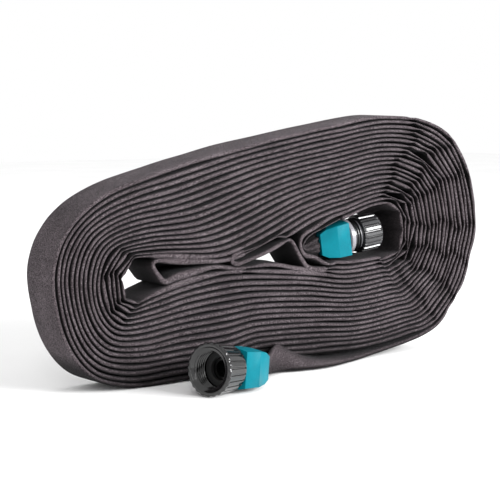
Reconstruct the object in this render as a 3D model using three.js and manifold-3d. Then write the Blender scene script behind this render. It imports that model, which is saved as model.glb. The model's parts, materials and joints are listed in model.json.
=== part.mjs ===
// A flat, fabric-jacketed soaker hose, wound into an oblong roll that stands on its long side.
//
// Millimetres, +Z up. +X runs along the roll and +Y across the hose's flat width. The origin is
// on the floor, under the middle of the whole part. The outer end of the hose leaves the roll
// below, at the right, and lies forward along the floor to the inlet coupling. The inner end
// stays in the middle of the roll, in the outlet coupling, which its end cap closes.
import * as THREE from 'three';
import { mergeVertices } from 'three/addons/utils/BufferGeometryUtils.js';
import Module from 'manifold-3d';

const wasm = await Module();
wasm.setup();

// ---- Driving dimensions ----

const GAP = 0.3;                      // air between pieces that lie against each other
const FINE = 0.01;                    // overlap that makes a join between two shapes clean

// the flat hose
const HOSE_WIDTH = 38;                // laid flat
const HOSE_THICKNESS = 3.4;           // jacket and liner, laid flat

// the roll, around its own middle plane
const ROLL_Y = 36;                    // its middle plane lies behind the part's middle
const TAIL_GAP_START = -45;           // the stretch of the underside under which the tail lies
const TAIL_GAP_END = 119.5;

// couplings: 3/4 in garden hose thread, 11.5 threads to the inch
const THREAD_MAJOR_R = 13.2;
const THREAD_PITCH = 25.4 / 11.5;
const NUT_BORE_R = 13.65;
const WATER_R = 6;
const BARB_R = 7.4;
const BARB_PITCH = 5.5;
const NECK_R = 9.5;
const RUNNING_CLEARANCE = 0.4;

// collars: two moulded halves, widest at the ridge between taper and body
const INLET_RIDGE = 16.5;             // from the hose end
const INLET_COLLAR = 31;              // overall length
const OUTLET_RIDGE = 13.5;
const OUTLET_COLLAR = 25.5;
const COLLAR_WALL = 2.6;
const RIDGE_HALF_WIDTH = 16.3;
const HOSE_END_HALF_WIDTH = 14;
const OUTER_END_HALF_WIDTH = 14.9;
const SIDE_HALF_HEIGHT = 12.3;        // of the flat sides
const CROWN_HALF_HEIGHT = 14.6;       // at the crown of the domed top and bottom
const HOSE_END_HALF_HEIGHT = 10.8;

// inlet: swivel nut
const NUT_START = INLET_COLLAR + 0.7;
const NUT_LENGTH = 22.3;
const NUT_END = NUT_START + NUT_LENGTH;
const NUT_RIM_R = 18.8;
const NUT_BACK_R = 16.4;
const NUT_RIBS = 24;

// outlet: male thread and end cap
const FLANGE_START = OUTLET_COLLAR + 2.4;
const FLANGE_END = FLANGE_START + 4.6;
const MALE_END = OUTLET_COLLAR + 25.4;
const CAP_START = OUTLET_COLLAR + 14.4;
const CAP_LENGTH = 17.6;
const CAP_END = CAP_START + CAP_LENGTH;
const CAP_R = 14.8;
const CAP_RIBS = 22;

// where each coupling's collar takes the hose, and how its axis lies: the inlet lies on the floor
// on its nut and its collar, the outlet inside the roll
const INLET = { at: [-56.9, -20, 13.4], turn: 198, tilt: 6 };
const OUTLET = { at: [40.6, ROLL_Y + 1, 90.8], turn: -6, tilt: 8.2 };

// ---- Materials ----

function finish(colour, roughness) {
  return new THREE.MeshStandardMaterial({ color: colour, roughness, metalness: 0 });
}

const fabric = finish(0x59504f, 0.95);
const liner = finish(0x2b2b2d, 0.6);
const blackPlastic = finish(0x1c1c1e, 0.28);
const greyPlastic = finish(0x8d8c92, 0.35);
const tealPlastic = finish(0x12a2b8, 0.35);
const rubber = finish(0x222224, 0.8);

// ---- Solids ----

function solid(geometry) {
  const bare = geometry.index ? geometry.toNonIndexed() : geometry.clone();
  bare.deleteAttribute('normal');
  bare.deleteAttribute('uv');
  const merged = mergeVertices(bare, 1e-4);
  return new wasm.Manifold(new wasm.Mesh({
    numProp: 3,
    vertProperties: new Float32Array(merged.attributes.position.array),
    triVerts: new Uint32Array(merged.index.array),
  }));
}

function geometryOf(body) {
  const { vertProperties, triVerts } = body.getMesh();
  const geometry = new THREE.BufferGeometry();
  geometry.setAttribute('position', new THREE.BufferAttribute(vertProperties, 3));
  geometry.setIndex(new THREE.BufferAttribute(triVerts, 1));
  const flat = geometry.toNonIndexed();
  flat.computeVertexNormals();
  return flat;
}

function piece(name, shape, material) {
  const geometry = shape.isBufferGeometry ? shape : geometryOf(shape);
  const mesh = new THREE.Mesh(geometry, material);
  mesh.name = name;
  return mesh;
}

// A closed outline of [distance along X, radius] points, turned about X.
function turned(outline, sides = 48) {
  const points = outline.map(([x, r]) => new THREE.Vector2(r, x));
  if (THREE.ShapeUtils.area(points) < 0) {
    points.reverse();
  }
  const ring = new THREE.LatheGeometry([...points, points[0]], sides);
  return solid(ring.rotateZ(-Math.PI / 2));
}

function tube(start, end, innerR, outerR, sides) {
  return turned([[start, innerR], [end, innerR], [end, outerR], [start, outerR]], sides);
}

function rod(start, end, radius, sides = 48) {
  const points = [[0, start], [radius, start], [radius, end], [0, end]];
  const outline = points.map(([r, x]) => new THREE.Vector2(r, x));
  return solid(new THREE.LatheGeometry(outline, sides).rotateZ(-Math.PI / 2));
}

function block(x0, x1, y0, y1, z0, z1) {
  const box = new THREE.BoxGeometry(x1 - x0, y1 - y0, z1 - z0);
  return solid(box.translate((x0 + x1) / 2, (y0 + y1) / 2, (z0 + z1) / 2));
}

function points2(list) {
  return list.map(([u, v]) => new THREE.Vector2(u, v));
}

function extruded(shape, depth) {
  return new THREE.ExtrudeGeometry(shape, { depth, bevelEnabled: false, curveSegments: 10 });
}

// ---- The roll ----

// The outline of the roll: fuller at the right, where the outlet coupling is wound in. Its
// underside is flat on the floor at the left, and stands clear of the tail at the right.
function rollOutline() {
  const outline = new THREE.Shape();
  outline.moveTo(TAIL_GAP_END, 6.4);
  outline.splineThru(points2([
    [158, 18], [185, 50], [198, 98], [186, 148], [155, 179], [104, 190], [38, 183], [-41, 169],
    [-108, 154], [-157, 138], [-185, 117], [-198, 84], [-190, 40], [-170, 11], [-140, 0],
  ]));
  outline.lineTo(TAIL_GAP_START, 0);
  outline.lineTo(TAIL_GAP_START + 14, 8);
  outline.lineTo(12, 9.2);
  outline.lineTo(30, 7.6);
  outline.lineTo(60, 6.2);
  outline.lineTo(88, 8);
  outline.lineTo(TAIL_GAP_END, 13);
  outline.closePath();
  return outline;
}

// The hollow that the innermost turns leave: narrow at the left, wide around the coupling.
function hollowOutline() {
  const hollow = new THREE.Path();
  hollow.moveTo(-141, 78);
  hollow.splineThru(points2([
    [-132, 91], [-100, 86], [-45, 88], [5, 98], [45, 110], [82, 117.5], [108, 118], [118.5, 104],
    [115, 86], [90, 75], [30, 71], [-20, 73], [-80, 72], [-118, 63], [-137, 66], [-141, 78],
  ]));
  return hollow;
}

function roll() {
  const outline = rollOutline();
  outline.holes.push(hollowOutline());
  const geometry = new THREE.ExtrudeGeometry(outline, {
    depth: HOSE_WIDTH,
    bevelEnabled: false,
    curveSegments: 5,
  });
  geometry.rotateX(Math.PI / 2);
  geometry.translate(0, ROLL_Y + HOSE_WIDTH / 2, 0);
  return piece('hose_coil', geometry, fabric);
}

// ---- The two free stretches of hose ----

// A flat hose along a smooth route. Each station is [point, width, thickness, turn]: the width
// runs level across the route at a turn of 0 degrees and upright at 90.
function ribbon(stations, steps) {
  const route = new THREE.CatmullRomCurve3(
    stations.map(([at]) => new THREE.Vector3(...at)),
    false,
    'centripetal',
  );
  const corner = 0.36;
  const section = [
    [-0.5, -corner / 2], [-0.47, -0.5], [0, -0.5], [0.47, -0.5], [0.5, -corner / 2],
    [0.5, corner / 2], [0.47, 0.5], [0, 0.5], [-0.47, 0.5], [-0.5, corner / 2],
  ];
  const geometry = new THREE.ExtrudeGeometry(new THREE.Shape(points2(section)), {
    depth: 1,
    steps,
    bevelEnabled: false,
  });
  const up = new THREE.Vector3(0, 0, 1);
  const vertices = geometry.attributes.position;
  const last = stations.length - 1;
  for (let i = 0; i < vertices.count; i += 1) {
    const t = THREE.MathUtils.clamp(vertices.getZ(i), 0, 1);
    const station = Math.min(Math.floor(t * last), last - 1);
    const part = t * last - station;
    const [width, thickness, turn] = [1, 2, 3].map((k) => THREE.MathUtils.lerp(
      stations[station][k],
      stations[station + 1][k],
      part,
    ));
    const along = route.getTangent(t);
    const level = new THREE.Vector3().crossVectors(along, up).normalize();
    const across = level.clone().applyAxisAngle(along, -THREE.MathUtils.degToRad(turn));
    const through = new THREE.Vector3().crossVectors(along, across).normalize();
    const place = route.getPoint(t)
      .addScaledVector(across, vertices.getX(i) * width)
      .addScaledVector(through, vertices.getY(i) * thickness);
    vertices.setXYZ(i, place.x, place.y, place.z);
  }
  return geometry;
}

// From the underside of the roll forward along the floor, up into the inlet collar.
function inletTail() {
  const T = HOSE_THICKNESS;
  const stations = [
    [[-55.9, -19.7, 13.2], 19, 7, 90],
    [[-49.3, -17.3, 12.2], 16, 6.5, 88],
    [[-42, -12.4, 11.2], 15, 6, 86],
    [[-34, -5, 10.4], 15, 5.4, 82],
    [[-26, 1.2, 10.2], 17, 4.8, 76],
    [[-17, 6.6, 10.5], 20.5, 4.4, 62],
    [[-7, 9.6, 10.6], 26, 4, 43],
    [[4, 12, 8.7], 30.5, 3.7, 25],
    [[15, 14, 6.3], 35, T, 13],
    [[28, 17.2, 3.7], 37.5, T, 4],
    [[42, 22, 2.3], HOSE_WIDTH, T, 0],
    [[56, 27, 2.1], HOSE_WIDTH, T, 0],
    [[71, 31.4, 2.7], HOSE_WIDTH, T, 0],
    [[88, 34.4, 4.1], HOSE_WIDTH, T, 0],
    [[104, 35.5, 6.2], HOSE_WIDTH, T, 0],
    [[TAIL_GAP_END - 2.2, 36, 8.4], HOSE_WIDTH, T, 0],
  ];
  return piece('inlet_hose_tail', ribbon(stations, 44), fabric);
}

// From the outlet collar, folding back under it to the innermost turn.
function outletTail() {
  const stations = [
    [[39.5, ROLL_Y + 1.1, 90.6], 19, 8, 90],
    [[32, ROLL_Y + 1.6, 89.4], 18, 8, 75],
    [[26, ROLL_Y + 1, 85], 24, 6.5, 40],
    [[24, ROLL_Y + 0.5, 79.5], 31, 4.5, 12],
    [[26, ROLL_Y, 74.6], 36, HOSE_THICKNESS, 0],
  ];
  return piece('outlet_hose_tail', ribbon(stations, 14), fabric);
}

// ---- Couplings: +X runs out along the axis, from the hose end of the collar ----

function collarShell(ridge, length) {
  const plan = extruded(new THREE.Shape(points2([
    [0, -HOSE_END_HALF_WIDTH],
    [ridge, -RIDGE_HALF_WIDTH],
    [length, -OUTER_END_HALF_WIDTH],
    [length, OUTER_END_HALF_WIDTH],
    [ridge, RIDGE_HALF_WIDTH],
    [0, HOSE_END_HALF_WIDTH],
  ])), 40).translate(0, 0, -20);

  const side = extruded(new THREE.Shape(points2([
    [0, -HOSE_END_HALF_HEIGHT],
    [ridge * 0.55, -CROWN_HALF_HEIGHT * 0.94],
    [ridge, -CROWN_HALF_HEIGHT],
    [length, -CROWN_HALF_HEIGHT * 0.98],
    [length, CROWN_HALF_HEIGHT * 0.98],
    [ridge, CROWN_HALF_HEIGHT],
    [ridge * 0.55, CROWN_HALF_HEIGHT * 0.94],
    [0, HOSE_END_HALF_HEIGHT],
  ])), 40).translate(0, 0, -20).rotateX(Math.PI / 2);

  const arch = new THREE.Shape();
  arch.moveTo(RIDGE_HALF_WIDTH, -SIDE_HALF_HEIGHT);
  arch.lineTo(RIDGE_HALF_WIDTH, SIDE_HALF_HEIGHT);
  arch.quadraticCurveTo(0, 2 * CROWN_HALF_HEIGHT - SIDE_HALF_HEIGHT, -RIDGE_HALF_WIDTH, SIDE_HALF_HEIGHT);
  arch.lineTo(-RIDGE_HALF_WIDTH, -SIDE_HALF_HEIGHT);
  arch.quadraticCurveTo(0, SIDE_HALF_HEIGHT - 2 * CROWN_HALF_HEIGHT, RIDGE_HALF_WIDTH, -SIDE_HALF_HEIGHT);
  const crossSection = extruded(arch, length + 2)
    .rotateX(Math.PI / 2)
    .rotateZ(Math.PI / 2)
    .translate(-1, 0, 0);

  // room for the hose on its barbed stem, its way in, and the grip on the stem's neck
  const room = rod(COLLAR_WALL, length - COLLAR_WALL, 11);
  const wayIn = block(-1, COLLAR_WALL + FINE, -5, 5, -10.2, 10.2);
  const grip = rod(length - COLLAR_WALL - FINE, length + 1, NECK_R + GAP);
  return solid(plan).intersect(solid(side)).intersect(solid(crossSection))
    .subtract(room)
    .subtract(wayIn)
    .subtract(grip);
}

function collarHalves(end, ridge, length) {
  const shell = collarShell(ridge, length);
  const far = 50;
  // each half carries a latch tongue or its slot at the crown, where they snap together
  const latch = ridge + 0.5;
  const tongue = block(latch, latch + 3.5, -GAP, 2.2, 11.6, 13.4);
  const slot = block(latch - GAP, latch + 3.5 + GAP, -GAP, 2.5, 11.3, far);
  const left = shell.subtract(block(-far, far, -far, GAP / 2, -far, far)).subtract(slot);
  const right = shell.subtract(block(-far, far, -GAP / 2, far, -far, far)).add(tongue);
  return [
    piece(`${end}_collar_left`, left, tealPlastic),
    piece(`${end}_collar_right`, right, tealPlastic),
  ];
}

// The barbed tail that the hose is pushed onto, with the shoulder that the collar holds.
function barbedTail(collarLength, neckEnd) {
  const shoulder = collarLength - COLLAR_WALL - 4;
  const barbs = [];
  for (let start = 5; start < shoulder - BARB_PITCH; start += BARB_PITCH) {
    barbs.push([start, BARB_R - 0.6], [start + 4.6, BARB_R + 0.7], [start + 4.9, BARB_R - 0.6]);
  }
  const outline = [
    [3.4, WATER_R], [3.4, BARB_R - 0.6], ...barbs,
    [shoulder, BARB_R - 0.6], [shoulder, 10.4], [shoulder + 3.2, 10.4], [shoulder + 3.6, NECK_R],
    [neckEnd, NECK_R], [neckEnd, WATER_R],
  ];
  return turned(outline, 40);
}

// The end of the hose inside its collar, from the way in to just short of the shoulder.
function hoseEnd(end, collarLength) {
  const shoulder = collarLength - COLLAR_WALL - 4;
  const linerEnd = tube(3.6, shoulder - 0.6, BARB_R + 0.9, BARB_R + 1.6, 32);
  const jacketEnd = tube(3, shoulder - 0.6, BARB_R + 1.9, 10.7, 32);
  return [
    piece(`${end}_liner_end`, linerEnd, liner),
    piece(`${end}_jacket_end`, jacketEnd, fabric),
  ];
}

// Finger ribs: shallow grooves along a turned body, evenly round its axis.
function grooved(body, count, start, end, backR, frontR, width, depth) {
  const lean = Math.atan2(frontR - backR, end - start);
  const length = Math.hypot(frontR - backR, end - start);
  let cut = body;
  for (let i = 0; i < count; i += 1) {
    const groove = new THREE.BoxGeometry(length, width, 2 * depth)
      .translate(length / 2, 0, 0)
      .rotateY(-lean)
      .translate(start, 0, backR)
      .rotateX((i / count) * 2 * Math.PI);
    cut = cut.subtract(solid(groove));
  }
  return cut;
}

function inletCoupling() {
  const group = new THREE.Group();
  const wallEnd = NUT_START + 2.4;
  const headStart = wallEnd + RUNNING_CLEARANCE;
  const headEnd = headStart + 2.6;
  const washerEnd = headEnd + RUNNING_CLEARANCE + 3;

  const head = tube(headStart, headEnd, WATER_R + 2, 11.8, 40);
  const stem = barbedTail(INLET_COLLAR, headEnd).add(head);

  const nutBody = turned([
    [NUT_START, NECK_R + RUNNING_CLEARANCE],
    [wallEnd, NECK_R + RUNNING_CLEARANCE],
    [wallEnd, 12.9],
    [washerEnd + GAP, 12.9],
    [washerEnd + GAP, NUT_BORE_R],
    [NUT_END - 2.2, NUT_BORE_R],
    [NUT_END, NUT_BORE_R + 1.7],
    [NUT_END, NUT_RIM_R - 0.6],
    [NUT_END - 0.6, NUT_RIM_R],
    [NUT_END - 2.4, NUT_RIM_R],
    [NUT_END - 2.8, NUT_RIM_R - 0.9],
    [NUT_START + 0.8, NUT_BACK_R],
    [NUT_START, NUT_BACK_R - 0.8],
  ], 72);
  const nut = grooved(
    nutBody, NUT_RIBS, NUT_START - 1, NUT_END - 2.8, NUT_BACK_R - 0.1, NUT_RIM_R - 0.9, 1.1, 0.55,
  );

  group.add(piece('inlet_stem', stem, blackPlastic));
  group.add(piece('inlet_swivel_nut', nut, blackPlastic));
  group.add(piece('inlet_washer', tube(headEnd + RUNNING_CLEARANCE, washerEnd, 8.2, 12.6, 40), rubber));
  group.add(...hoseEnd('inlet', INLET_COLLAR));
  group.add(...collarHalves('inlet', INLET_RIDGE, INLET_COLLAR));
  return group;
}

function outletCoupling() {
  const group = new THREE.Group();
  // the thread is cut as separate ridges, so that the cap's plain bore slides over them
  const ridges = [];
  for (let x = FLANGE_END + 1.6; x < MALE_END - THREAD_PITCH; x += THREAD_PITCH) {
    ridges.push([x, THREAD_MAJOR_R - 1.2], [x + 0.8, THREAD_MAJOR_R], [x + 1.2, THREAD_MAJOR_R]);
    ridges.push([x + 2, THREAD_MAJOR_R - 1.2]);
  }
  const male = turned([
    [OUTLET_COLLAR - 3, WATER_R],
    [OUTLET_COLLAR - 3, NECK_R],
    [FLANGE_START, NECK_R],
    [FLANGE_START, 12.6],
    [FLANGE_START + 0.8, 13.6],
    [FLANGE_END - 0.8, 13.6],
    [FLANGE_END, 12.6],
    [FLANGE_END, THREAD_MAJOR_R - 1.2],
    ...ridges,
    [MALE_END, THREAD_MAJOR_R - 1.2],
    [MALE_END, WATER_R],
  ], 48);

  const washerStart = MALE_END + GAP;
  const washerEnd = washerStart + 2.6;
  const capBody = turned([
    [CAP_START, NUT_BORE_R],
    [washerEnd + GAP, NUT_BORE_R],
    [washerEnd + GAP, 0],
    [CAP_END, 0],
    [CAP_END, CAP_R - 1.6],
    [CAP_END - 1.6, CAP_R - 0.4],
    [CAP_START + 0.8, CAP_R],
    [CAP_START, CAP_R - 0.6],
  ], 66);
  const cap = grooved(
    capBody, CAP_RIBS, CAP_START - 1, CAP_END + 1, CAP_R, CAP_R - 0.4, 1.2, 0.45,
  );

  group.add(piece('outlet_stem', barbedTail(OUTLET_COLLAR, OUTLET_COLLAR).add(male), greyPlastic));
  group.add(piece('end_cap', cap, blackPlastic));
  group.add(piece('cap_washer', tube(washerStart, washerEnd, 7.5, 13.1, 40), rubber));
  group.add(...hoseEnd('outlet', OUTLET_COLLAR));
  group.add(...collarHalves('outlet', OUTLET_RIDGE, OUTLET_COLLAR));
  return group;
}

function placed(group, { at, turn, tilt }) {
  group.position.set(...at);
  group.rotation.set(0, -THREE.MathUtils.degToRad(tilt), THREE.MathUtils.degToRad(turn), 'ZYX');
  return group;
}

// ---- The whole hose ----

const soakerHose = new THREE.Group();
soakerHose.name = 'soaker_hose';
soakerHose.add(roll(), inletTail(), outletTail());
soakerHose.add(placed(inletCoupling(), INLET));
soakerHose.add(placed(outletCoupling(), OUTLET));

export default soakerHose;
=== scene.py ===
"""A flat soaker hose wound in an oblong roll, with its two couplings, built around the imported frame."""
import json
import math

import bmesh
import bpy
import numpy as np
from mathutils import Matrix, Vector


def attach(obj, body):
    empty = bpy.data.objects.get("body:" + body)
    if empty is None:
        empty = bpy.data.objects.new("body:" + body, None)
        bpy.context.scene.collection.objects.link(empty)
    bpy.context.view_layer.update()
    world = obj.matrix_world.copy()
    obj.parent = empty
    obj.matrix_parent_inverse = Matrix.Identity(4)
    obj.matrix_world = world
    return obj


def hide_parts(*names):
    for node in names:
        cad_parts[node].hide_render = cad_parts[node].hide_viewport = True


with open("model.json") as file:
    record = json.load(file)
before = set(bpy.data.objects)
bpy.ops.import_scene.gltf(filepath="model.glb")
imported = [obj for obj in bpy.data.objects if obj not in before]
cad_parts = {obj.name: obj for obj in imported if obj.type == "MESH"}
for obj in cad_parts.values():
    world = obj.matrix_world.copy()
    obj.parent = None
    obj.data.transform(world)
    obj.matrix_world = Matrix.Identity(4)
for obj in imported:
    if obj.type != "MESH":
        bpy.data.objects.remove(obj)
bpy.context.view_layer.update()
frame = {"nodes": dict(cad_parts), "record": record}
nodes = frame["nodes"]
MM = 0.001

# ---------------------------------------------------------------- camera

CAMERA_AT = Vector((-0.6344, -0.8089, 0.1938))
CAMERA_AZ = math.radians(-36.0)
CAMERA_EL = math.radians(5.7)
SENSOR_WIDTH = 36.0   # mm
FOCAL_LENGTH = 100.55

back = Vector((math.sin(CAMERA_AZ) * math.cos(CAMERA_EL),
               -math.cos(CAMERA_AZ) * math.cos(CAMERA_EL), math.sin(CAMERA_EL)))
right = Vector((0, 0, 1)).cross(back).normalized()
up = back.cross(right)
lens = bpy.data.cameras.new("camera")
lens.sensor_width = SENSOR_WIDTH
lens.lens = FOCAL_LENGTH
camera = bpy.data.objects.new("camera", lens)
camera.matrix_world = Matrix((
    (right.x, up.x, back.x, CAMERA_AT.x),
    (right.y, up.y, back.y, CAMERA_AT.y),
    (right.z, up.z, back.z, CAMERA_AT.z),
    (0, 0, 0, 1)))
bpy.context.scene.collection.objects.link(camera)
bpy.context.scene.camera = camera

# ---------------------------------------------------------------- dimensions, mm

WIDTH = 38.0          # of the hose, laid flat
THICK = 3.4
EDGE = 1.7            # how far the rounding of the folded edges reaches in
ROLL_Y = 36.0         # the roll's middle plane
TURNS = 20

# where each coupling's collar takes the hose, how its axis lies, and how far along it the collar
# is widest
INLET = {"at": (-56.9, -20, 13.4), "turn": 198, "tilt": 6, "ridge": 16.5}
OUTLET = {"at": (40.6, ROLL_Y + 1, 90.8), "turn": -6, "tilt": 8.2, "ridge": 13.5}

# along each coupling's axis, from its collar's hose end
NUT_START, NUT_END = 31.7, 54.0
CAP_START, CAP_END = 39.9, 57.5
# the flange ring is a painted highlight: pale grey in place of the light that the black flange catches
FLANGE_HIGHLIGHT = (30.2, 2.5)     # (middle, half width) of the outlet stem's pale rings
CAP_RING = (38.2, 0.6)
BORE_R = 13.65                # of the nut and the cap
THREAD_PITCH = 25.4 / 11.5
COLLAR_ROUNDING = 1.2

# ---------------------------------------------------------------- node materials

class Nodes:
    """A small helper for building node trees."""

    def __init__(self, name, roughness=0.5):
        self.material = bpy.data.materials.new(name)
        self.material.use_nodes = True
        self.tree = self.material.node_tree
        self.shader = self.tree.nodes["Principled BSDF"]
        self.shader.inputs["Roughness"].default_value = roughness

    def add(self, kind, **values):
        node = self.tree.nodes.new(kind)
        for key, value in values.items():
            setattr(node, key, value)
        return node

    def link(self, source, target):
        self.tree.links.new(source, target)

    def put(self, node, key, value):
        if isinstance(value, bpy.types.NodeSocket):
            self.link(value, node.inputs[key])
        else:
            node.inputs[key].default_value = value

    def math(self, operation, a, b=0.0, c=0.0):
        node = self.add("ShaderNodeMath", operation=operation)
        self.put(node, 0, a)
        self.put(node, 1, b)
        self.put(node, 2, c)
        return node.outputs[0]

    def noise(self, scale, detail, roughness, vector):
        node = self.add("ShaderNodeTexNoise")
        node.inputs["Scale"].default_value = scale
        node.inputs["Detail"].default_value = detail
        node.inputs["Roughness"].default_value = roughness
        self.link(vector, node.inputs["Vector"])
        return node.outputs["Fac"]

    def object_coords(self):
        return self.add("ShaderNodeTexCoord").outputs["Object"]

    def ramp(self, value, stops):
        node = self.add("ShaderNodeValToRGB")
        elements = node.color_ramp.elements
        while len(elements) < len(stops):
            elements.new(0.5)
        for element, (position, colour) in zip(elements, stops):
            element.position = position
            element.color = (*colour, 1.0)
        self.link(value, node.inputs["Fac"])
        return node.outputs["Color"]

    def painted_shade(self, colour, reach, power):
        """The colour with painted shade: darkened by ambient occlusion where the surface is closed in."""
        # painted shade: the occlusion below scales the colour down in hollows
        near = self.add("ShaderNodeAmbientOcclusion", samples=6)
        near.inputs["Distance"].default_value = reach
        node = self.add("ShaderNodeVectorMath", operation="SCALE")
        self.link(colour, node.inputs[0])
        self.link(self.math("POWER", near.outputs["AO"], power), node.inputs["Scale"])
        return node.outputs[0]

    def bump(self, height, strength, distance):
        node = self.add("ShaderNodeBump")
        node.inputs["Strength"].default_value = strength
        node.inputs["Distance"].default_value = distance
        self.link(height, node.inputs["Height"])
        return node.outputs["Normal"]


def srgb(r, g, b):
    def channel(v):
        v /= 255.0
        return v / 12.92 if v <= 0.04045 else ((v + 0.055) / 1.055) ** 2.4
    return (channel(r), channel(g), channel(b))


def fabric_material():
    """Close-woven polyester: a fine diagonal weave with a sheen and uneven dye, and painted shade darkening
    its colour in the grooves between turns.
    """
    m = Nodes("hose_weave", 0.85)
    uv = m.add("ShaderNodeUVMap", uv_map="weave")
    split = m.add("ShaderNodeSeparateXYZ")
    m.link(uv.outputs["UV"], split.inputs[0])
    along, across = split.outputs[0], split.outputs[1]
    # threads: one every 0.8 mm along, 0.95 mm across, each row shifted like a twill
    twill = m.math("ADD", along, m.math("MULTIPLY", across, 0.5))
    warp = m.math("SINE", m.math("MULTIPLY", twill, 2 * math.pi / 0.8))
    weft = m.math("SINE", m.math("MULTIPLY", across, 2 * math.pi / 0.95))
    weave = m.math("MULTIPLY", warp, weft)
    grain = m.noise(1250.0, 2.0, 0.6, m.object_coords())
    patches = m.noise(45.0, 3.0, 0.55, m.object_coords())
    uneven = m.math("ADD", m.math("MULTIPLY_ADD", grain, 1.45, -0.37), m.math("MULTIPLY", patches, 0.3))
    value = m.math("ADD", m.math("MULTIPLY", weave, 0.12), uneven)
    colour = m.ramp(value, [
        (0.24, srgb(26, 22, 24)),
        (0.50, srgb(66, 59, 62)),
        (0.80, srgb(112, 104, 108)),
    ])
    # painted shade: ambient occlusion darkens the colour in the grooves between turns
    m.link(m.painted_shade(colour, 0.028, 3.0), m.shader.inputs["Base Color"])
    rough = m.math("MULTIPLY_ADD", patches, 0.2, 0.72)
    m.link(rough, m.shader.inputs["Roughness"])
    height = m.math("ADD", weave, m.math("MULTIPLY", grain, 1.2))
    m.link(m.bump(height, 0.55, 0.00025), m.shader.inputs["Normal"])
    m.shader.inputs["Sheen Weight"].default_value = 0.04
    m.shader.inputs["Sheen Roughness"].default_value = 0.45
    m.shader.inputs["Sheen Tint"].default_value = (0.85, 0.83, 0.88, 1)
    m.shader.inputs["Specular IOR Level"].default_value = 0.08
    return m.material


def plastic_material(name, dark, middle, light, roughness, coat=0.0, specular=0.5, painted_shade_power=1.6):
    """Moulded plastic: faint flow marks and scuffs, lighter on its convex edges and darker in its
    concave ones. painted_shade_power is how strongly painted shade darkens it in hollows."""
    m = Nodes(name, roughness)
    coords = m.object_coords()
    flow = m.noise(70.0, 3.0, 0.5, coords)
    fine = m.noise(1400.0, 1.0, 0.5, coords)
    # lighter on convex edges and darker in concave ones, by the mesh's pointiness
    pointiness = m.add("ShaderNodeNewGeometry").outputs["Pointiness"]
    value = m.math("ADD", m.math("MULTIPLY", flow, 0.65), m.math("MULTIPLY", fine, 0.35))
    edge = m.math("MULTIPLY", m.math("SUBTRACT", pointiness, 0.5), 1.2)
    colour = m.ramp(m.math("ADD", value, edge), [(0.3, dark), (0.5, middle), (0.78, light)])
    # painted shade: ambient occlusion darkens the colour in hollows
    m.link(m.painted_shade(colour, 0.012, painted_shade_power), m.shader.inputs["Base Color"])
    m.shader.inputs["Specular IOR Level"].default_value = specular
    m.link(m.math("MULTIPLY_ADD", flow, 0.18, roughness - 0.09), m.shader.inputs["Roughness"])
    m.link(m.bump(m.math("ADD", m.math("MULTIPLY", fine, 0.5), flow), 0.12, 0.0002),
           m.shader.inputs["Normal"])
    m.shader.inputs["Coat Weight"].default_value = coat
    m.shader.inputs["Coat Roughness"].default_value = 0.2
    return m.material


fabric = fabric_material()
teal = plastic_material("teal_plastic", srgb(0, 84, 96), srgb(0, 96, 109), srgb(2, 108, 121), 0.4,
                        specular=0.08, painted_shade_power=0.1)
# painted shade: the black darkens strongly in its hollows, in the nut's bore most of all
black = plastic_material("black_plastic", srgb(4, 4, 5), srgb(8, 8, 9), srgb(16, 16, 18), 0.15,
                         coat=0.4, painted_shade_power=2.2)
# painted highlight: the cap is the same black plastic, painted lighter to stand in for the broad highlights
# on its ribs
cap_black_painted_highlight = plastic_material("cap_plastic_painted_highlight", srgb(22, 22, 23), srgb(36, 36, 38), srgb(60, 60, 63), 0.24,
                             coat=0.3, specular=0.6)
rubber = plastic_material("washer_rubber", srgb(14, 14, 14), srgb(20, 20, 21), srgb(32, 32, 33), 0.7)
liner = plastic_material("hose_liner", srgb(20, 20, 22), srgb(28, 28, 30), srgb(40, 40, 42), 0.55)


def placement(spec):
    """A coupling's own frame: +X runs out along its axis, from the hose end of its collar."""
    turn = Matrix.Rotation(math.radians(spec["turn"]), 4, "Z")
    tilt = Matrix.Rotation(-math.radians(spec["tilt"]), 4, "Y")
    return Matrix.Translation(Vector(spec["at"]) * MM) @ turn @ tilt


def stem_material(obj):
    """The outlet stem: black moulding with a pale grey ring over its flange, a painted highlight in place
    of the light the flange catches, and one pale ring behind the cap.
    """
    m = Nodes("grey_plastic", 0.3)
    local = obj.matrix_world.inverted() @ placement(OUTLET)
    axis = (local.to_3x3() @ Vector((1, 0, 0))).normalized()
    start = local @ Vector((0, 0, 0))
    coords = m.object_coords()
    along = m.add("ShaderNodeVectorMath", operation="DOT_PRODUCT")
    m.link(coords, along.inputs[0])
    along.inputs[1].default_value = axis
    mm = m.math("MULTIPLY", m.math("SUBTRACT", along.outputs["Value"], start.dot(axis)), 1000.0)

    def ring(middle, half_width):
        return m.math("LESS_THAN", m.math("ABSOLUTE", m.math("SUBTRACT", mm, middle)), half_width)

    # painted highlight: the flange ring is painted pale grey in place of the light its black plastic
    # catches
    rings = m.math("MAXIMUM", ring(*FLANGE_HIGHLIGHT), ring(*CAP_RING))
    tone = m.math("ADD", m.math("MULTIPLY", m.noise(90.0, 2.0, 0.5, coords), 0.35),
                  m.math("MULTIPLY", rings, 0.65))
    colour = m.ramp(tone, [
        (0.1, srgb(10, 10, 11)),
        (0.36, srgb(22, 22, 24)),
        (0.7, srgb(96, 95, 100)),
        (0.95, srgb(140, 139, 144)),
    ])
    m.link(colour, m.shader.inputs["Base Color"])
    m.link(m.math("MULTIPLY_ADD", m.noise(70.0, 2.0, 0.5, coords), 0.15, 0.25),
           m.shader.inputs["Roughness"])
    return m.material


# ---------------------------------------------------------------- mesh helpers

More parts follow.
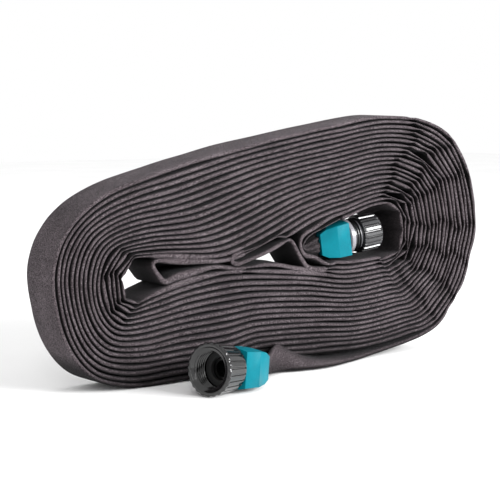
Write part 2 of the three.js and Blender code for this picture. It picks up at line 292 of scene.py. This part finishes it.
def mesh_object(name, points, faces, material, uvs=None):
    """points in mm, in the part's frame; uvs is one (u, v) for each face corner."""
    mesh = bpy.data.meshes.new(name)
    mesh.from_pydata((np.asarray(points, float) * MM).tolist(), [], [list(map(int, f)) for f in faces])
    if uvs is not None:
        layer = mesh.uv_layers.new(name="weave")
        layer.data.foreach_set("uv", np.asarray(uvs, np.float32).ravel())
    mesh.materials.append(material)
    mesh.polygons.foreach_set("use_smooth", [True] * len(mesh.polygons))
    mesh.update()
    obj = bpy.data.objects.new(name, mesh)
    bpy.context.scene.collection.objects.link(obj)
    return obj


def face_outwards(mesh):
    """Turns every face of a closed mesh outwards."""
    bm = bmesh.new()
    bm.from_mesh(mesh)
    bmesh.ops.recalc_face_normals(bm, faces=bm.faces)
    bm.to_mesh(mesh)
    bm.free()


def unit(v):
    return v / np.maximum(np.linalg.norm(v, axis=-1, keepdims=True), 1e-9)


def section():
    """The hose's outline, as (side, inset, height): side -1 front, 0 half way across or 1 back,
    inset of the rounding in shares of EDGE, height in shares of the half thickness."""
    rounding = [(0.0, 0.0), (0.07, 0.45), (0.32, 0.8), (1.0, 1.0)]
    front = [(-1, i, -h) for i, h in reversed(rounding[1:])] + [(-1, i, h) for i, h in rounding]
    backs = [(1, i, h) for i, h in reversed(rounding[1:])] + [(1, i, -h) for i, h in rounding]
    return front + [(0, 0, 1.0)] + backs + [(0, 0, -1.0)]


SECTION = section()


def ribbon(name, centre, across, through, width, thick, start_length, droop=0.0, middle=None):
    """A flat hose. centre, across and through are arrays of points and unit vectors, mm, and
    start_length is where along the whole hose it starts. droop is how far its back edge hangs
    inwards, middle its thickness half way across."""
    centre, across, through = (np.asarray(a, float) for a in (centre, across, through))
    width = np.asarray(width, float)
    thick = np.asarray(thick, float)
    rings = []
    girth = []
    for side, inset, height in SECTION:
        reach = side * (width / 2 - np.minimum(EDGE, width / 6) * inset)
        lift = height * thick / 2
        if side == 0 and middle is not None:
            lift = height * middle / 2
        if side == 1:
            lift = lift + droop
        rings.append(centre + across * reach[:, None] + through * lift[:, None])
        girth.append(side * (WIDTH / 2 - EDGE * inset) + 0.4 * height)
    count, m = len(centre), len(SECTION)
    points = np.stack(rings, axis=1).reshape(-1, 3)
    step = np.linalg.norm(np.diff(centre, axis=0), axis=1)
    length = start_length + np.concatenate([[0], np.cumsum(step)])
    i = np.arange(count - 1)[:, None] * m
    j = np.arange(m)[None, :]
    k = (j + 1) % m
    quads = np.stack([i + j, i + k, i + m + k, i + m + j], axis=-1).reshape(-1, 4)
    outline = np.array([(g, height * THICK / 2) for g, (_, _, height) in zip(girth, SECTION)])
    around = np.concatenate([[0], np.cumsum(np.linalg.norm(np.diff(outline, axis=0), axis=1))])
    closing = around[-1] + abs(girth[0] - girth[-1])
    v0 = around[np.arange(m)]
    v1 = np.append(around[1:], closing)
    uv = np.empty((count - 1, m, 4, 2))
    uv[..., 0, 0] = uv[..., 1, 0] = length[:-1, None]
    uv[..., 2, 0] = uv[..., 3, 0] = length[1:, None]
    uv[..., 0, 1] = uv[..., 3, 1] = v0[None, :]
    uv[..., 1, 1] = uv[..., 2, 1] = v1[None, :]
    faces = quads.tolist()
    uvs = uv.reshape(-1, 2).tolist()
    for ring in (0, count - 1):
        cap = [ring * m + n for n in range(m)]
        if ring == 0:
            cap.reverse()
        faces.append(cap)
        uvs.extend([[length[ring], girth[n - ring * m]] for n in cap])
    obj = mesh_object(name, points, faces, fabric, uvs)
    face_outwards(obj.data)
    return obj


def spline(points, spacing):
    """A centripetal Catmull-Rom curve through points, resampled to an even spacing."""
    p = np.asarray(points, float)
    p = np.vstack([2 * p[0] - p[1], p, 2 * p[-1] - p[-2]])
    out = []
    for i in range(1, len(p) - 2):
        a, b, c, d = p[i - 1], p[i], p[i + 1], p[i + 2]
        t0 = 0.0
        t1 = t0 + max(np.linalg.norm(b - a), 1e-6) ** 0.5
        t2 = t1 + max(np.linalg.norm(c - b), 1e-6) ** 0.5
        t3 = t2 + max(np.linalg.norm(d - c), 1e-6) ** 0.5
        steps = max(2, int(np.linalg.norm(c - b) / (spacing * 0.4)))
        t = np.linspace(t1, t2, steps, endpoint=False)[:, None]
        a1 = (t1 - t) / (t1 - t0) * a + (t - t0) / (t1 - t0) * b
        a2 = (t2 - t) / (t2 - t1) * b + (t - t1) / (t2 - t1) * c
        a3 = (t3 - t) / (t3 - t2) * c + (t - t2) / (t3 - t2) * d
        b1 = (t2 - t) / (t2 - t0) * a1 + (t - t0) / (t2 - t0) * a2
        b2 = (t3 - t) / (t3 - t1) * a2 + (t - t1) / (t3 - t1) * a3
        out.append((t2 - t) / (t2 - t1) * b1 + (t - t1) / (t2 - t1) * b2)
    dense = np.vstack(out + [p[-2:-1]])
    run = np.concatenate([[0], np.cumsum(np.linalg.norm(np.diff(dense, axis=0), axis=1))])
    count = max(2, int(round(run[-1] / spacing)) + 1)
    even = np.linspace(0, run[-1], count)
    return np.stack([np.interp(even, run, dense[:, k]) for k in range(p.shape[1])], axis=1)


# ---------------------------------------------------------------- the roll's turns

# One lap of the roll, from the lower right anticlockwise: (share of the lap, level, the point
# at that level, the point on the outside). Levels count turns outwards from the coupling.
LAP = [
    (0.000, 0.0, (90, 78.2), (158, 18.5)),
    (0.045, 0.0, (108.5, 82.2), (185, 50)),
    (0.070, 0.0, (113.2, 88.8), (192.5, 72)),
    (0.100, 0.0, (114.5, 100), (199, 98)),
    (0.150, 0.0, (111.5, 113.5), (188, 149)),
    (0.190, 0.0, (101, 120.3), (157.5, 181)),
    (0.240, 0.0, (84, 119), (104, 190.5)),
    (0.310, 0.0, (60, 112), (38, 182.5)),
    (0.390, 0.0, (36, 105), (-41, 168.5)),
    (0.460, 4.04, (-52, 91), (-108, 153.5)),
    (0.525, 4.0, (-110, 92), (-157, 137.5)),
    (0.565, 3.94, (-136, 91), (-184.5, 116.5)),
    (0.605, 3.9, (-144, 77), (-197.5, 84)),
    (0.640, 3.87, (-142.5, 66), (-190, 41)),
    (0.670, 3.83, (-133, 60), (-170, 12)),
    (0.695, 3.8, (-117, 65), (-139, 0.6)),
    (0.725, 3.78, (-88, 72.5), (-95, 0.4)),
    (0.750, 3.75, (-56, 76.5), (-55, 1.0)),
    (0.775, 3.72, (-28, 75.8), (-26, 8.0)),
    (0.815, 3.69, (15, 71.9), (30, 7.9)),
    (0.870, 3.63, (58, 65.6), (76, 7.6)),
    (0.935, 3.57, (96, 68), (121, 13.2)),
]


def lap_tables():
    share = np.array([row[0] for row in LAP])
    level = np.array([row[1] for row in LAP])
    at = np.array([row[2] for row in LAP], float)
    outside = np.array([row[3] for row in LAP], float)
    per_level = (outside - at) / (TURNS - share - level)[:, None]
    inner = at - per_level * level[:, None]
    return share, np.hstack([inner, per_level])


LAP_SHARE, LAP_VALUES = lap_tables()


def lap(share):
    """Innermost point and the step from one level to the next, by a smooth periodic curve."""
    t = np.mod(np.asarray(share, float), 1.0)
    n = len(LAP_SHARE)
    x = np.concatenate([[LAP_SHARE[-1] - 1], LAP_SHARE, [1.0, 1.0 + LAP_SHARE[1]]])
    y = np.vstack([LAP_VALUES[-1:], LAP_VALUES, LAP_VALUES[:2]])
    slope = np.zeros_like(y)
    slope[1:-1] = (y[2:] - y[:-2]) / (x[2:] - x[:-2])[:, None]
    k = np.clip(np.searchsorted(x, t, side="right") - 1, 1, n)
    h = (x[k + 1] - x[k])
    s = ((t - x[k]) / h)[:, None]
    h = h[:, None]
    return ((2 * s ** 3 - 3 * s ** 2 + 1) * y[k] + (s ** 3 - 2 * s ** 2 + s) * h * slope[k]
            + (-2 * s ** 3 + 3 * s ** 2) * y[k + 1] + (s ** 3 - s ** 2) * h * slope[k + 1])


def smooth_turn(laps):
    """Middle of the hose after that many laps inwards from its outer end, and the step outwards."""
    laps = np.asarray(laps, float)
    values = lap(laps)
    level = TURNS - laps - 0.5
    return values[:, :2] + values[:, 2:] * level[:, None], values[:, 2:]


SEED = 11
rng = np.random.default_rng(SEED)
WOBBLE = [(rng.uniform(0, 2 * math.pi), rng.uniform(0.35, 1.0)) for _ in range(12)]


def wobble(length, scale, seed):
    """Smooth unevenness along the hose, about -1 to 1, with features about scale long."""
    total = np.zeros_like(length)
    for n in range(4):
        phase, speed = WOBBLE[(seed * 4 + n) % len(WOBBLE)]
        total += np.sin(length / scale * (0.6 + speed) * (1 + 0.7 * n) + phase * (n + 1)) / (1 + 0.5 * n)
    return total / 2.2


# where the hose buckles, in shares of a lap: round the right end, round the right end on each of the
# innermost turns, and round the left end on some turns
CREASE_SHARES = [0.006, 0.036, 0.066, 0.107, 0.147, 0.176, 0.215]
INNER_CREASE_SHARES = [
    (0.01, 0.06, 0.115, 0.16, 0.22),
    (0.03, 0.075, 0.125, 0.18),
    (0.05, 0.1, 0.15, 0.2),
]
INNER_FROM = TURNS - len(INNER_CREASE_SHARES)
LEFT_CREASE_SHARES = [0.558, 0.597, 0.648, 0.677]
LEFT_CREASED = range(11, 16)


def crease_places():
    """Where the hose buckles round the ends of the roll, in laps inwards from its outer end. From turn
    to turn a crease stays near its place, so the creases run outwards in rough lines."""
    places = []
    drift = np.zeros(len(CREASE_SHARES))
    for n in range(TURNS):
        drift = 0.85 * drift + rng.normal(0.0, 0.0035, len(drift))
        keep = rng.random(len(drift)) < 0.93
        if n < INNER_FROM:
            places.extend(n + share + d for share, d, k in zip(CREASE_SHARES, drift, keep) if k)
        else:
            places.extend(n + share for share in INNER_CREASE_SHARES[n - INNER_FROM])
        if n in LEFT_CREASED:
            places.extend(n + share + rng.normal(0, 0.003) for share in LEFT_CREASE_SHARES)
    return np.array(sorted(place for place in places if place > 0.03))


CREASES = crease_places()


def creased_turn(laps):
    """The smooth turn, with straighter runs between the creases, which stand out a little."""
    base, step = smooth_turn(laps)
    corner, _ = smooth_turn(CREASES)
    out = base.copy()
    before = np.searchsorted(CREASES, laps, side="right") - 1
    between = np.where((before >= 0) & (before < len(CREASES) - 1))[0]
    gap = CREASES[before[between] + 1] - CREASES[before[between]]
    near = gap < 0.12
    between = between[near]
    gap = gap[near]
    k = before[between]
    f = ((laps[between] - CREASES[k]) / gap)[:, None]
    straight = corner[k] * (1 - f) + corner[k + 1] * f
    at_left = np.mod(laps[between], 1.0) > 0.4
    stiff_right = np.interp(laps[between], [0, 2, 4, 16, 17, 18, 19], [0.05, 0.2, 0.55, 0.7, 1.0, 0.8, 0.3])
    stiff_left = np.interp(laps[between], [11, 15], [0.4, 0.95])
    stiff = np.where(at_left, stiff_left, stiff_right)[:, None]
    out[between] = base[between] * (1 - stiff) + straight * stiff
    push = 0.6 * np.exp(-((np.minimum(f, 1 - f)[:, 0] * gap / 0.006) ** 2))
    out[between] += unit(step[between]) * push[:, None]
    return out


# where the innermost turns fold over: (laps at the start, laps at the end, the points between)
FOLDS = [
    (16.475, 16.845, [
        (-86, 86.6), (-104, 88.0), (-114.5, 88.9), (-117.6, 87.2), (-116.6, 83.8), (-112, 77.6),
        (-108.4, 73.8), (-105.2, 73.6), (-101, 75.4), (-92, 77.2), (-80, 79.2), (-66, 81.2),
        (-56, 80.3), (-45, 78.6), (-34, 79), (-20, 79.8), (-6, 78.6), (8, 75.4), (22, 73.2),
    ]),
    (17.42, 17.86, [
        (-8, 100.2), (-22, 95.2), (-36, 91.6), (-45, 89.8), (-49.3, 88.2), (-50.4, 85.2), (-48, 82.6),
        (-43, 82.4), (-36, 84.2), (-25, 87.2), (-13, 91.2), (-3, 95.4), (2.2, 97.2), (5.4, 95.6),
        (10, 88.8), (15.4, 81.2), (19.4, 76.2), (24, 74.3), (34, 73.3),
    ]),
    (18.375, 18.862, [
        (26, 104.8), (18.6, 101.6), (14.2, 97.6), (13.3, 92.6), (15.4, 87.2), (19, 84.2), (24.5, 83.3),
        (30, 81.4), (36, 78.2), (43, 76.3),
    ]),
]
INNER_END = 19.335    # laps from the outer end to where the end is gathered for the outlet


def turns(start, end):
    """Control points (x, z, laps) along the turns from one number of laps to another."""
    laps = np.linspace(start, end, int((end - start) * 260) + 2)
    return [(x, z, at) for (x, z), at in zip(creased_turn(laps), laps)]


def roll_route():
    """The middle of the wound hose from its outer end inwards, as control points (x, z, laps)."""
    route = []
    start = 0.0
    for fold_start, fold_end, points in FOLDS:
        laps = np.linspace(fold_start, fold_end, len(points) + 2)[1:-1]
        route += turns(start, fold_start)
        route += [(x, z, at) for (x, z), at in zip(points, laps)]
        start = fold_end
    return route + turns(start, INNER_END)


# where the folded turns bulge: (place, reach, thickness there)
BULGES = [((-92.0, 77.6), 17.0, 6.4), ((-113.0, 79.5), 7.0, 3.8), ((-47.0, 84.0), 6.0, 4.0),
          ((16.0, 73.2), 13.0, 4.5)]

spiral = spline(roll_route(), 2.45)
spiral, lap_at = spiral[:, :2], spiral[:, 2]
tangent = unit(np.gradient(spiral, axis=0))
normal = np.stack([-tangent[:, 1], tangent[:, 0]], axis=1)
run = np.concatenate([[0], np.cumsum(np.linalg.norm(np.diff(spiral, axis=0), axis=1))])

AIR = 0.8             # left between two turns
NEIGHBOUR = 9.0       # a stretch of hose farther away than this is no neighbour
THINNEST = 1.1


def free_thickness():
    """Room for each stretch of hose beside its nearest neighbour, and the distance to it."""
    cell = 6.0
    own_length = 9.0
    grid = {}
    for n, (x, z) in enumerate(spiral):
        grid.setdefault((int(x // cell), int(z // cell)), []).append(n)
    room = np.full(len(spiral), THICK)
    to_next = np.full(len(spiral), THICK)
    for n, p in enumerate(spiral):
        cx, cz = int(p[0] // cell), int(p[1] // cell)
        close = [m for dx in (-1, 0, 1) for dz in (-1, 0, 1) for m in grid.get((cx + dx, cz + dz), ())]
        close = np.array([m for m in close if abs(run[m] - run[n]) > own_length])
        if len(close):
            d = spiral[close] - p
            away = np.abs(d @ normal[n])
            side = np.abs(d @ tangent[n])
            hit = away[side < 1.8]
            if len(hit):
                room[n] = min(THICK, hit.min() - AIR)
                if hit.min() < NEIGHBOUR:
                    to_next[n] = hit.min()
    return room, to_next


room, to_next = free_thickness()
kernel = np.ones(3) / 3
room = np.minimum(room, np.convolve(np.pad(room, 1, mode="edge"), kernel, mode="valid"))
right_end = np.clip((spiral[:, 0] - 105.0) / 30.0, 0, 1)
loose = right_end * (0.3 + 0.35 * wobble(run, 19.0, 1)) + 0.12 * wobble(run, 60.0, 2)
thick = np.clip(room - np.clip(loose, 0, 0.8), THINNEST, THICK)

# the hose is pinched thin at each crease
beside = np.clip(np.searchsorted(CREASES, lap_at), 1, len(CREASES) - 1)
to_crease = np.minimum(np.abs(lap_at - CREASES[beside - 1]), np.abs(lap_at - CREASES[beside]))
OUTER_LAP, INNER_LAP = 1090.0, 400.0
PINCH, PINCH_REACH = 0.55, 3.2
lap_length = np.interp(lap_at, [0, TURNS], [OUTER_LAP, INNER_LAP])
thick *= 1 - PINCH * np.exp(-(to_crease * lap_length / PINCH_REACH) ** 2)

# half way across the turns lie against each other, so that no light comes through the roll
middle = np.clip(to_next + 0.15, 1.6, np.where(spiral[:, 0] > 95.0, NEIGHBOUR, 5.2))

for place, reach, full in BULGES:
    near = np.exp(-(np.linalg.norm(spiral - place, axis=1) / reach) ** 2) * (run > run[-1] * 0.86)
    thick = np.maximum(thick, np.where(near > 0.05, THICK + (full - THICK) * near, 0))

# the outermost turn stays flat against the floor, and the innermost one clear of the cap
middle = np.where(lap_at < 1.05, np.minimum(middle, 2.6), middle)
middle = np.maximum(np.where(lap_at > 18.9, 0.0, middle), thick)

# the innermost turn's back edge hangs in towards the coupling at the right
inmost = np.clip((run - (run[-1] - 330.0)) / 40.0, 0, 1)
over = np.clip((spiral[:, 0] - 62.0) / 22.0, 0, 1) * np.clip((spiral[:, 1] - 84.0) / 14.0, 0, 1)
droop = 9.5 * inmost * over


def hang(start, end, left, right, depth):
    """How far the back edge hangs inwards over part of one folded turn."""
    within = (lap_at > start) & (lap_at < end)
    ramp = np.clip((spiral[:, 0] - left) / 8.0, 0, 1) * np.clip((right - spiral[:, 0]) / 8.0, 0, 1)
    return np.where(within, ramp * depth, 0.0)


droop += hang(16.3, 16.56, -116, -30, 6.0) + hang(17.5, 17.68, -44, 4, -4.0)

LEAD = 19             # samples of the outermost turn that belong to the free stretch at the inlet
WOUND_START = 260.0   # where the wound part starts along the hose, for its weave
shift = 0.55 * wobble(run, 38.0, 0) + 0.35 * wobble(run, 13.0, 1)
lean = 0.02 * wobble(run, 30.0, 2)
centre3 = np.stack([spiral[:, 0], ROLL_Y + shift, spiral[:, 1]], axis=1)
through3 = unit(np.stack([normal[:, 0], lean, normal[:, 1]], axis=1))
tangent3 = np.stack([tangent[:, 0], np.zeros(len(run)), tangent[:, 1]], axis=1)
across3 = unit(np.cross(through3, tangent3))
across3 *= np.sign(across3[:, 1:2])
width3 = WIDTH - 0.4 * np.abs(wobble(run, 22.0, 1))

wound = ribbon("wound_hose", centre3[LEAD:], across3[LEAD:], through3[LEAD:], width3[LEAD:],
               thick[LEAD:], WOUND_START, droop[LEAD:], middle[LEAD:])
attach(wound, "hose")
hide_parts("hose_coil")

# ---------------------------------------------------------------- the free stretch at the inlet

# (point, width, thickness, turn): the width lies level across the route at 0 degrees
TAIL = [
    ((-55.9, -19.7, 13.2), 17, 6.8, 90),
    ((-49.3, -17.3, 11.9), 13.5, 6.2, 88),
    ((-42, -12.4, 10.5), 12.5, 5.6, 86),
    ((-34, -5, 9.6), 13, 5.0, 82),
    ((-26, 1.2, 9.2), 15, 4.6, 76),
    ((-17, 6.6, 9.9), 19, 4.2, 62),
    ((-7, 9.6, 10.4), 25, 3.9, 43),
    ((4, 12, 8.7), 30.5, 3.7, 25),
    ((15, 14, 6.3), 35, THICK, 13),
    ((28, 17.2, 3.7), 37.5, THICK, 4),
    ((42, 22, 2.3), WIDTH, THICK, 0),
    ((56, 27, 2.1), WIDTH, THICK, 0),
    ((71, 31.4, 2.7), WIDTH, THICK, 0),
    ((88, 34.4, 4.1), WIDTH, THICK, 0),
    ((106, 35.6, 6.4), WIDTH, THICK, 0),
    ((122, 36.0, 9.0), WIDTH, THICK, 0),
    ((136, 36.0, 12.0), WIDTH, THICK, 0),
    ((147, 36.0, 15.6), WIDTH, THICK, 0),
]


def tail_stations():
    """The free stretch's rows of (x, y, z, width, thickness, turn), run on into the outermost turn."""
    rows = np.array([[*p, w, t, turn] for p, w, t, turn in TAIL], float)
    lead = np.array([[*centre3[n], width3[n], thick[n], 0.0] for n in range(LEAD + 1)])
    table = np.vstack([rows, lead[::3], lead[-1:]])
    apart = np.linalg.norm(np.diff(table[:, :3], axis=0), axis=1) > 0.5
    return spline(table[np.concatenate([[True], apart])], 2.6)


stations = tail_stations()
route3 = stations[:, :3]
along3 = unit(np.gradient(route3, axis=0))
level = unit(np.cross(along3, [0, 0, 1.0]))
angle = np.radians(stations[:, 5])[:, None]
tail_across = unit(level * np.cos(angle) + np.cross(along3, level) * np.sin(angle))
tail_through = unit(np.cross(along3, tail_across))
if tail_across[-1] @ across3[LEAD] < 0:
    tail_across *= -1
    tail_through *= -1

# its last stretch turns smoothly into the way that the outermost turn lies
BLEND = 7
blend_in = np.clip((np.arange(len(route3)) - (len(route3) - 1 - BLEND)) / BLEND, 0, 1)[:, None]
tail_across = unit(tail_across * (1 - blend_in) + across3[LEAD] * blend_in)
flip = np.sign(tail_through[-1] @ through3[LEAD])
tail_through = unit(tail_through * flip * (1 - blend_in) + through3[LEAD] * blend_in)
tail_length = float(np.linalg.norm(np.diff(route3, axis=0), axis=1).sum())
tail = ribbon("inlet_hose", route3, tail_across, tail_through, stations[:, 3], stations[:, 4],
              WOUND_START - tail_length)
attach(tail, "hose")
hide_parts("inlet_hose_tail")

# ---------------------------------------------------------------- the gathered end at the outlet

# (x, z, half width, half thickness, depth of the pleats): the flat end curls down and is gathered
# into a bundle that fills the collar's mouth
END = [
    (spiral[-1][0], spiral[-1][1], 18.7, 1.5, 0.0),
    (34, 103.8, 18.3, 1.6, 0.0),
    (26.6, 100.8, 17.2, 2.0, 0.1),
    (21.0, 96.2, 15.4, 2.8, 0.4),
    (19.6, 91.4, 13.8, 4.2, 0.7),
    (22.4, 88.4, 12.8, 6.0, 0.9),
    (27.6, 88.4, 12.2, 7.6, 1.0),
    (32.6, 89.4, 11.9, 8.7, 1.1),
    (37.4, 90.2, 11.4, 9.4, 1.1),
    (39.8, 90.6, 9.6, 9.4, 1.0),
    (40.8, 90.8, 4.6, 9.2, 0.4),
    (44.0, 91.2, 4.2, 8.6, 0.2),
]


def gathered_end():
    """The pleated end, a closed ring of points round each row of END."""
    rows = spline(np.array(END, float), 0.9)
    along = unit(np.gradient(rows[:, :2], axis=0))
    out = np.stack([-along[:, 1], along[:, 0]], axis=1)
    count = len(rows)
    sides = 72
    angle = np.linspace(0, 2 * math.pi, sides, endpoint=False)
    middle_y = np.interp(rows[:, 0], [20, 40], [36.4, 37.0])
    points = []
    cosine = np.cos(angle)
    sine = np.sin(angle)
    for n, (x, z, wide, deep, pleat) in enumerate(rows):
        fold = pleat * (0.6 * np.cos(13 * angle + 0.05 * n) + 0.4 * np.cos(8 * angle + 1.3 - 0.04 * n))
        across = np.sign(cosine) * np.abs(cosine) ** 0.8 * wide + cosine * fold
        lift = np.sign(sine) * np.abs(sine) ** 0.8 * deep + sine * fold
        points.append(np.stack([x + out[n, 0] * lift, middle_y[n] + across, z + out[n, 1] * lift], axis=1))
    length = np.concatenate([[0], np.cumsum(np.linalg.norm(np.diff(rows[:, :2], axis=0), axis=1))])
    girth = 2 * WIDTH
    faces = []
    uvs = []
    for n in range(count - 1):
        for j in range(sides):
            k = (j + 1) % sides
            faces.append((n * sides + j, n * sides + k, (n + 1) * sides + k, (n + 1) * sides + j))
            v0, v1 = j * girth / sides, (j + 1) * girth / sides
            uvs.extend([(length[n], v0), (length[n], v1), (length[n + 1], v1), (length[n + 1], v0)])
    for ring in (0, count - 1):
        face = [ring * sides + j for j in range(sides)]
        faces.append(face if ring else face[::-1])
        uvs.extend([(length[ring], float(j)) for j in range(sides)])
    obj = mesh_object("outlet_hose", np.vstack(points), faces, fabric, uvs)
    face_outwards(obj.data)
    return obj


end_piece = gathered_end()
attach(end_piece, "hose")
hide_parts("outlet_hose_tail")

# ---------------------------------------------------------------- couplings

def collar_half(node, name, spec):
    """A finer copy of a collar's CAD node: its flat triangles merged to faces, its edges rounded."""
    source = nodes[node]
    from_local = source.matrix_world.inverted() @ placement(spec)
    to_local = from_local.inverted()
    mesh = source.data.copy()
    obj = bpy.data.objects.new(name, mesh)
    bpy.context.scene.collection.objects.link(obj)
    bm = bmesh.new()
    bm.from_mesh(mesh)
    # slimmer at the hose end than the solid, which has room for the barbs there
    for vert in bm.verts:
        local = to_local @ vert.co
        towards_hose = min(1.0, max(0.0, 1.0 - local.x / (spec["ridge"] * MM)))
        local.z *= 1.0 - 0.24 * towards_hose ** 1.3
        local.y *= 1.0 - 0.13 * towards_hose
        vert.co = from_local @ local
    bmesh.ops.remove_doubles(bm, verts=bm.verts, dist=2e-6)
    bmesh.ops.dissolve_limit(bm, angle_limit=math.radians(1.0), verts=bm.verts, edges=bm.edges)
    bmesh.ops.recalc_face_normals(bm, faces=bm.faces)
    bm.to_mesh(mesh)
    bm.free()
    mesh.materials.clear()
    mesh.materials.append(teal)
    mesh.polygons.foreach_set("use_smooth", [True] * len(mesh.polygons))
    rounder = obj.modifiers.new("rounding", "BEVEL")
    rounder.width = COLLAR_ROUNDING * MM
    rounder.segments = 4
    rounder.limit_method = "ANGLE"
    rounder.angle_limit = math.radians(11.0)
    rounder.harden_normals = True
    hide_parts(node)
    return obj


SLOTS = {s["node"]: s["material_slot"] for s in frame["record"]["subparts"]}
BY_SLOT = {"hose_fabric": fabric, "liner": liner, "black_plastic": black,
           "grey_plastic": stem_material(nodes["outlet_stem"]),
           "teal_plastic": teal, "washer_rubber": rubber}

for end, spec in (("inlet", INLET), ("outlet", OUTLET)):
    for half in ("left", "right"):
        node = f"{end}_collar_{half}"
        shell = collar_half(node, f"{end}_shell_{half}", spec)
        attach(shell, "hose")


def turned(name, profile, sides, material, spec, radius):
    """A closed turned outline [(x, r)], mm, placed on a coupling's axis. radius(x, r, angle) gives
    the r to use, for ribs and threads."""
    angles = np.linspace(0, 2 * math.pi, sides, endpoint=False)
    points = []
    for x, r in profile:
        for t in angles:
            out = radius(x, r, t)
            points.append((x, out * math.cos(t), out * math.sin(t)))
    m = len(profile)
    faces = []
    for i in range(m):
        for j in range(sides):
            k = (j + 1) % sides
            a0, a1 = i * sides + j, i * sides + k
            b0, b1 = ((i + 1) % m) * sides + j, ((i + 1) % m) * sides + k
            faces.append((a0, a1, b1, b0))
    obj = mesh_object(name, points, faces, material)
    obj.data.transform(placement(spec))
    face_outwards(obj.data)
    obj.data.set_sharp_from_angle(angle=math.radians(38))
    return obj


def ribs(count, depth, share, inside_r):
    """Broad flat ribs with narrow grooves between them, outside inside_r only. share is how much of
    each rib's pitch its groove takes."""
    def radius(x, r, angle):
        if r < inside_r:
            return r
        phase = (angle * count / (2 * math.pi)) % 1.0
        groove = max(0.0, 1.0 - abs(phase - 0.5) / (share / 2))
        return r - depth * min(1.0, groove * 1.8)
    return radius


def nut():
    """The swivel nut: ribs along its outside, a rippled rim and an internal thread."""
    outside = [(NUT_START, 12.0), (NUT_START, 15.2), (NUT_START + 0.25, 15.8), (NUT_START + 0.8, 16.3),
               (NUT_START + 1.6, 16.45)]
    for n in range(1, 9):
        f = n / 8
        outside.append((NUT_START + 1.6 + f * 17.0, 16.45 + f * 1.35))
    rim = [(NUT_END - 3.2, 17.85), (NUT_END - 2.75, 18.1), (NUT_END - 2.5, 18.55), (NUT_END - 2.0, 18.8),
           (NUT_END - 1.2, 18.8), (NUT_END - 0.5, 18.6), (NUT_END - 0.12, 18.2), (NUT_END, 17.7),
           (NUT_END, 16.2), (NUT_END - 0.1, 15.8), (NUT_END - 0.5, 15.4), (NUT_END - 1.0, 15.05)]
    thread = [(NUT_END - 1.6, 14.3)]
    x = NUT_END - 2.0
    while x > 41.3:
        thread.append((x, BORE_R))
        x -= 0.28
    inner = [(40.8, BORE_R), (40.8, 12.9), (34.1, 12.9), (34.1, 9.9), (NUT_START, 9.9)]
    ribbed = ribs(24, 0.75, 0.34, 15.75)

    def radius(x, r, angle):
        if r == BORE_R and x > 41.0:
            phase = (x / THREAD_PITCH - angle / (2 * math.pi)) % 1.0
            height = max(0.0, 1.0 - abs(phase - 0.5) / 0.4)
            return 13.95 - 1.35 * min(1.0, height * 1.4)
        if NUT_START + 1.0 < x < NUT_END - 3.0:
            return ribbed(x, r, angle)
        if x >= NUT_END - 3.0 and r > 17.0:
            return r - 0.3 + 0.3 * math.cos(24 * angle)
        return r

    return turned("swivel_nut", outside + rim + thread + inner, 288, black, INLET, radius)


swivel = nut()
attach(swivel, "inlet_nut")
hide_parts("inlet_swivel_nut")


def cap():
    """The screw cap: broad ribs and a dished end."""
    outside = [(CAP_START, 13.7), (CAP_START, 14.2), (CAP_START + 0.3, 14.6), (CAP_START + 0.8, 14.8)]
    for n in range(1, 9):
        outside.append((CAP_START + 0.8 + n / 8 * 14.6, 15.1 - 0.25 * n / 8))
    outside += [(CAP_END - 1.4, 14.8), (CAP_END - 0.7, 14.4), (CAP_END - 0.2, 13.6), (CAP_END, 12.8),
                (CAP_END, 10.6), (CAP_END - 0.5, 10.2), (CAP_END - 0.5, 0.01),
                (53.8, 0.01), (53.8, BORE_R), (CAP_START + 0.5, BORE_R)]
    ribbed = ribs(20, 1.2, 0.46, 14.1)

    def radius(x, r, angle):
        if CAP_START + 0.5 < x < CAP_END - 0.1:
            return ribbed(x, r, angle)
        return r

    return turned("ribbed_cap", outside, 264, cap_black_painted_highlight, OUTLET, radius)


cap_piece = cap()
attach(cap_piece, "cap")
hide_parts("end_cap")

for node, obj in nodes.items():
    if not obj.hide_render:
        obj.data.materials.clear()
        obj.data.materials.append(BY_SLOT[SLOTS[node]])
        obj.data.polygons.foreach_set("use_smooth", [True] * len(obj.data.polygons))
        obj.data.set_sharp_from_angle(angle=math.radians(35))

# ---------------------------------------------------------------- floor and light

LIT_POINT = Vector((0, 0.02, 0.08))     # where both lamps point
FLOOR_DROP = 0.0002                     # keeps the floor just clear of the hose


def floor():
    bpy.ops.mesh.primitive_plane_add(size=8, location=(0, 0, -FLOOR_DROP))
    obj = bpy.context.object
    obj.name = "floor"
    m = Nodes("floor_paint", 0.9)
    patches = m.noise(6.0, 2.0, 0.5, m.object_coords())
    tone = m.ramp(patches, [(0.3, (0.93, 0.93, 0.93)), (0.7, (0.96, 0.96, 0.96))])
    m.link(tone, m.shader.inputs["Base Color"])
    obj.data.materials.append(m.material)


def lamp(name, at, size, power):
    light = bpy.data.lights.new(name, "AREA")
    light.shape = "RECTANGLE"
    light.size, light.size_y = size
    light.energy = power
    obj = bpy.data.objects.new(name, light)
    obj.location = at
    obj.rotation_euler = (LIT_POINT - Vector(at)).to_track_quat("-Z", "Y").to_euler()
    bpy.context.scene.collection.objects.link(obj)


floor()
lamp("key", (0.95, -1.75, 0.8), (1.1, 0.9), 88)
lamp("strip", (-1.1, -1.5, 0.9), (0.25, 1.2), 7)
world = bpy.data.worlds.new("studio")
world.use_nodes = True
world.node_tree.nodes["Background"].inputs["Color"].default_value = (1.0, 1.0, 1.0, 1)
world.node_tree.nodes["Background"].inputs["Strength"].default_value = 1.0
bpy.context.scene.world = world
bpy.context.scene.view_settings.view_transform = "Standard"
